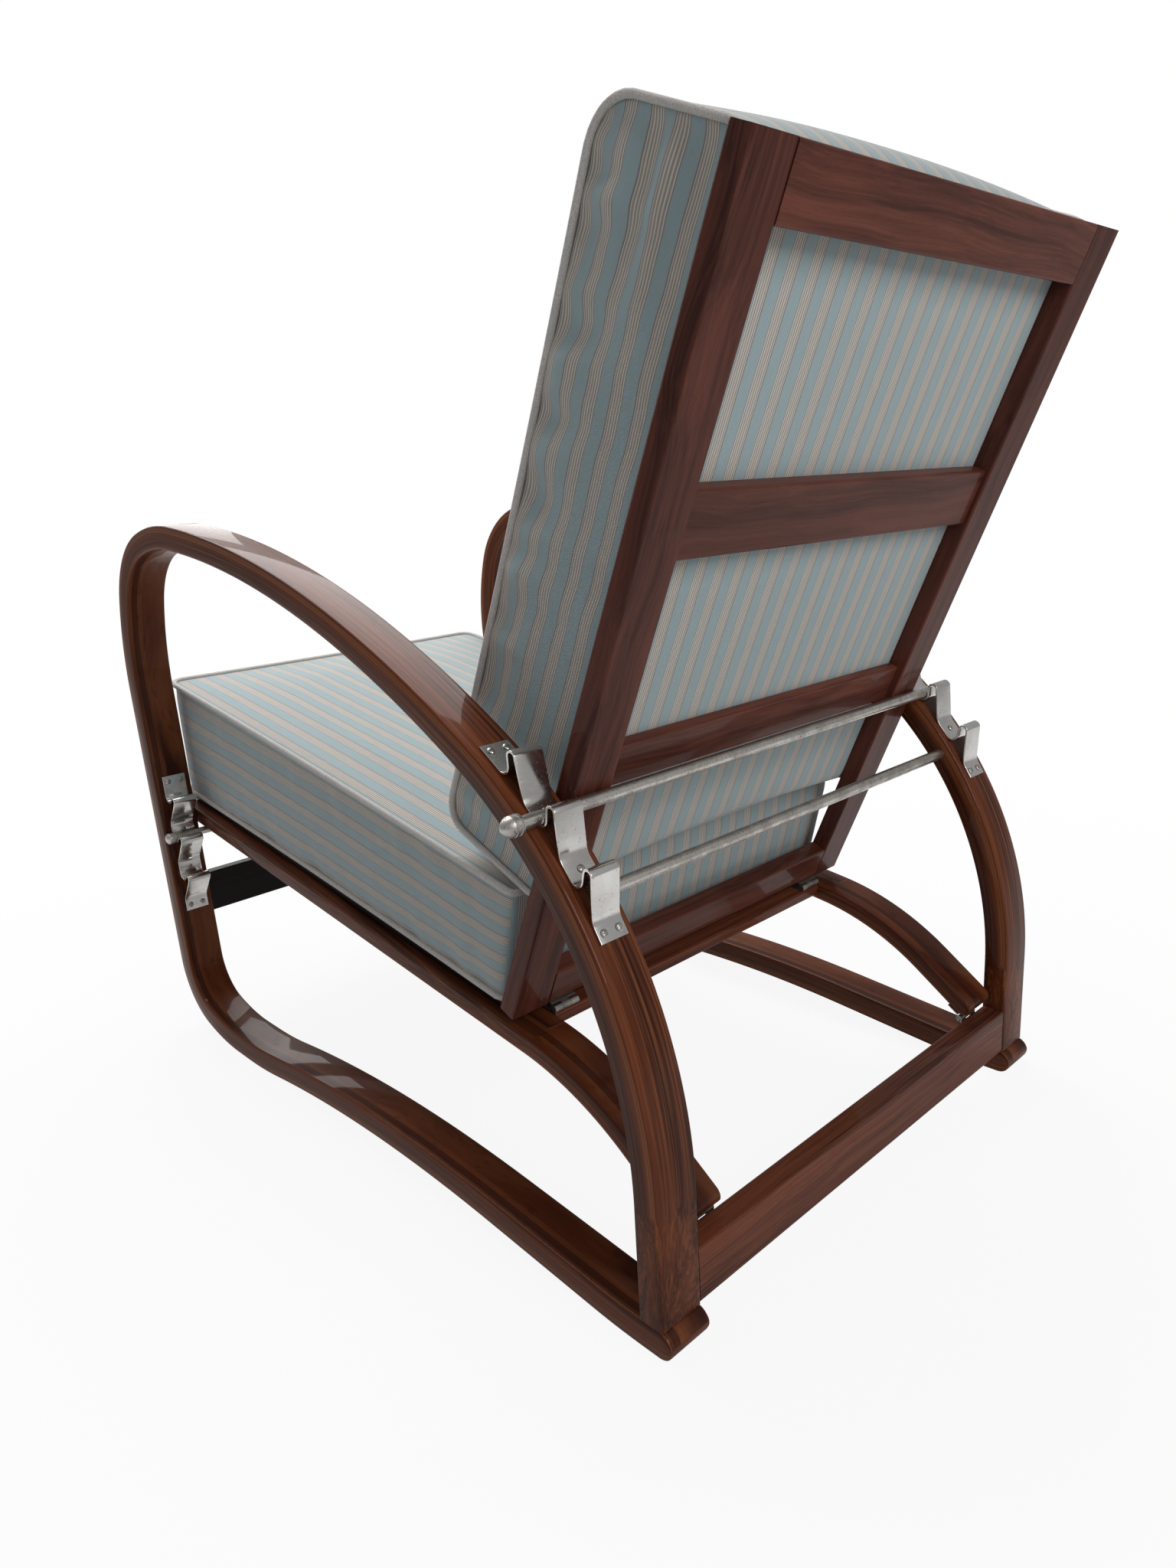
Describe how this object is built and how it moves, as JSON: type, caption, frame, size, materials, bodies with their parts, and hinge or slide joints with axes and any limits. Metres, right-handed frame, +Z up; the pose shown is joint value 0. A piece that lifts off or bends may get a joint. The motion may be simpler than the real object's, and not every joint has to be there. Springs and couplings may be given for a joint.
{
  "type": "lounge chair",
  "caption": "Bentwood lounge chair: two closed laminated hoops carry a hinged cushioned seat and back that rest on loose rods in hook strips.",
  "frame": {"origin": "on the floor under the middle of the object's box", "axes": "+X is the sitter's left, -Y is the way the sitter faces, +Z is up"},
  "size_m": [0.638, 0.974, 0.9124],
  "materials": {
    "walnut": "high gloss polish on reddish brown walnut veneer",
    "dark_walnut": "dark stained, satin polish",
    "nickel": "polished nickel plate, lightly worn",
    "worn_steel": "worn plated steel with fine pits",
    "striped_cloth": "woven cotton with pale teal and beige stripes"
  },
  "bodies": {
    "frame": {"fixed_rod": "worn_steel", "front_stretcher": "dark_walnut", "hook_strip_front_left": "nickel", "hook_strip_front_right": "nickel", "hook_strip_rear_left": "nickel", "hook_strip_rear_right": "nickel", "hoop_left": "walnut", "hoop_right": "walnut", "rear_stretcher": "walnut", "screw_front_left_1": "nickel", "screw_front_left_2": "nickel", "screw_front_left_3": "nickel", "screw_front_left_4": "nickel", "screw_front_left_5": "nickel", "screw_front_left_6": "nickel", "screw_front_right_1": "nickel", "screw_front_right_2": "nickel", "screw_front_right_3": "nickel", "screw_front_right_4": "nickel", "screw_front_right_5": "nickel", "screw_front_right_6": "nickel", "screw_rear_left_1": "nickel", "screw_rear_left_2": "nickel", "screw_rear_left_3": "nickel", "screw_rear_left_4": "nickel", "screw_rear_left_5": "nickel", "screw_rear_left_6": "nickel", "screw_rear_right_1": "nickel", "screw_rear_right_2": "nickel", "screw_rear_right_3": "nickel", "screw_rear_right_4": "nickel", "screw_rear_right_5": "nickel", "screw_rear_right_6": "nickel", "seat_hinge_left_fixed_leaf": "worn_steel", "seat_hinge_left_pin": "worn_steel", "seat_hinge_right_fixed_leaf": "worn_steel", "seat_hinge_right_pin": "worn_steel"},
    "seat": {"back_hinge_left_seat_leaf": "worn_steel", "back_hinge_right_seat_leaf": "worn_steel", "seat_base_panel": "dark_walnut", "seat_cross_rail": "walnut", "seat_cushion": "striped_cloth", "seat_front_rail": "dark_walnut", "seat_hinge_left_moving_leaf": "worn_steel", "seat_hinge_right_moving_leaf": "worn_steel", "seat_rail_left": "walnut", "seat_rail_right": "walnut"},
    "hinge_pins": {"back_hinge_left_pin": "worn_steel", "back_hinge_right_pin": "worn_steel"},
    "back": {"back_cushion": "striped_cloth", "back_hinge_left_back_leaf": "worn_steel", "back_hinge_right_back_leaf": "worn_steel", "bottom_rail": "walnut", "lumbar_rail": "walnut", "mid_rail": "walnut", "stile_left": "walnut", "stile_right": "walnut", "top_rail": "walnut"},
    "rear_rod": {"rear_rod": "worn_steel"},
    "front_rod": {"front_rod": "worn_steel"}
  },
  "joints": [
    {"name": "seat_tilt", "type": "hinge", "parent": "frame", "child": "seat", "pos_m": [-0.014, 0.3914, 0.0778], "axis": [-1, 0, 0], "range_deg": [0, 3.6]},
    {"name": "back_carry", "type": "hinge", "parent": "frame", "child": "hinge_pins", "pos_m": [-0.014, -0.52069, 0.69398], "axis": [1, 0, 0], "range_deg": [0, 0.905]},
    {"name": "back_fold", "type": "hinge", "parent": "hinge_pins", "child": "back", "pos_m": [-0.014, 0.20516, 0.19528], "axis": [1, 0, 0], "range_deg": [0, 8]},
    {"name": "rear_rod_lift", "type": "slide", "parent": "frame", "child": "rear_rod", "axis": [0, 0, 1], "range_m": [0, 0.04]},
    {"name": "front_rod_lift", "type": "slide", "parent": "frame", "child": "front_rod", "axis": [0, 0.5145, 0.8575], "range_m": [0, 0.03]}
  ],
  "couplings": [
    {"joint": "back_carry", "follows": "seat_tilt", "ratio": 0.25},
    {"joint": "front_rod_lift", "follows": "seat_tilt", "m_per_rad": 0.477},
    {"joint": "rear_rod_lift", "follows": "back_fold", "m_per_rad": 0.286}
  ]
}
